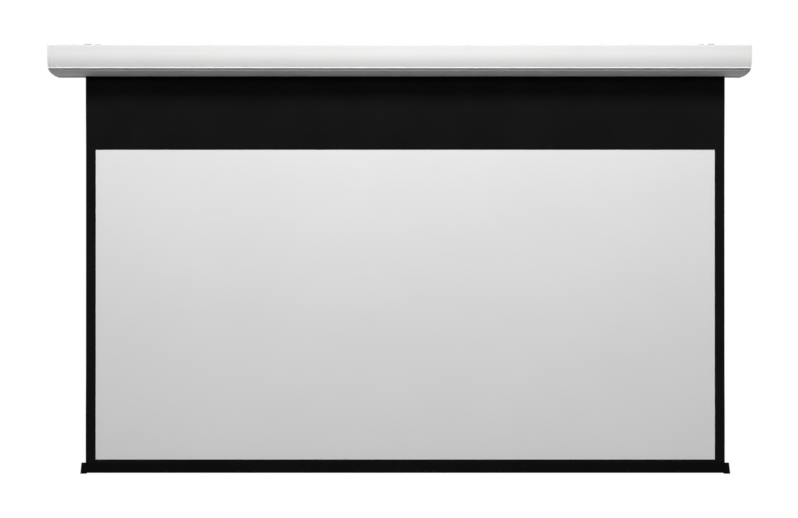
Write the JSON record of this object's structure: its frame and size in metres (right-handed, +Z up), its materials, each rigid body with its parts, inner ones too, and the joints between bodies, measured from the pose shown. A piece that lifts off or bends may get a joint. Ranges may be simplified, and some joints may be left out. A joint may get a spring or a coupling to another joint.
{
  "type": "motorized projector screen",
  "caption": "Electric roll-up projection screen: white case with tubular motor, black-bordered pale cloth, weighted black slat and sliding hanging brackets.",
  "frame": {"origin": "middle of the flat top of the case", "axes": "+X along the case, away from the motor end; +Y towards the wall; +Z up"},
  "size_m": [2.6611, 0.128, 1.6683],
  "materials": {
    "white_coat": "satin white powder coat",
    "white_plastic": "satin moulded white",
    "black_coat": "satin black coat",
    "black_plastic": "satin moulded black",
    "black_cloth": "matt black coated cloth",
    "picture_coat": "matt pale projection surface",
    "steel": "plain steel",
    "zinc": "zinc plate",
    "aluminium": "mill finish",
    "motor_paint": "dark grey paint",
    "rubber": "matt rubber",
    "limit_white": "moulded white",
    "limit_yellow": "moulded yellow"
  },
  "bodies": {
    "case": {"case_shell": "white_coat", "bottom_cover": "white_coat", "inlet_grommet": "rubber", "left_end_cap": "white_plastic", "right_end_cap": "white_plastic", "left_cap_screw_1": "zinc", "left_cap_screw_2": "zinc", "left_cap_screw_3": "zinc", "left_cap_screw_4": "zinc", "right_cap_screw_1": "zinc", "right_cap_screw_2": "zinc", "right_cap_screw_3": "zinc", "right_cap_screw_4": "zinc", "motor_bracket": "steel", "idler_bracket": "steel", "motor_head": "black_plastic", "motor_body": "motor_paint", "idler_pin": "steel", "receiver_box": "black_plastic", "receiver_lid": "black_plastic", "motor_lead": "rubber", "screen_cloth": "black_cloth", "picture_surface": "picture_coat"},
    "roller": {"roller_tube": "aluminium", "cloth_roll": "black_cloth", "cloth_key_rod": "steel", "crown_ring": "black_plastic", "drive_wheel": "black_plastic", "idler_plug": "black_plastic"},
    "slat": {"slat_profile": "black_coat", "slat_left_cap": "black_plastic", "slat_right_cap": "black_plastic", "slat_left_cap_screw": "zinc", "slat_right_cap_screw": "zinc", "cloth_hem": "black_cloth", "spline_rod": "steel", "weight_bar": "steel"},
    "limit_up": {"limit_up_screw": "limit_white"},
    "limit_down": {"limit_down_screw": "limit_yellow"},
    "left_hanger": {"left_bracket": "zinc", "left_bracket_nut": "steel", "left_bracket_bolt": "zinc"},
    "right_hanger": {"right_bracket": "zinc", "right_bracket_nut": "steel", "right_bracket_bolt": "zinc"}
  },
  "joints": [
    {"name": "slat_drop", "type": "slide", "parent": "case", "child": "slat", "axis": [0, 0, 1], "range_m": [0, 1.49], "deforming": ["screen_cloth", "picture_surface"]},
    {"name": "roller_spin", "type": "hinge", "parent": "case", "child": "roller", "pos_m": [0, 0.00083, -0.05], "axis": [1, 0, 0], "range_deg": [0, 2700]},
    {"name": "limit_up_turn", "type": "hinge", "parent": "case", "child": "limit_up", "pos_m": [-1.28945, 0.01783, -0.079], "axis": [0, 0, -1], "continuous": true},
    {"name": "limit_down_turn", "type": "hinge", "parent": "case", "child": "limit_down", "pos_m": [-1.27545, 0.01783, -0.079], "axis": [0, 0, -1], "continuous": true},
    {"name": "left_hanger_slide", "type": "slide", "parent": "case", "child": "left_hanger", "axis": [1, 0, 0], "range_m": [-0.12, 1]},
    {"name": "right_hanger_slide", "type": "slide", "parent": "case", "child": "right_hanger", "axis": [1, 0, 0], "range_m": [-1, 0.12]}
  ],
  "couplings": [
    {"joint": "roller_spin", "follows": "slat_drop", "rad_per_m": 31.573}
  ]
}
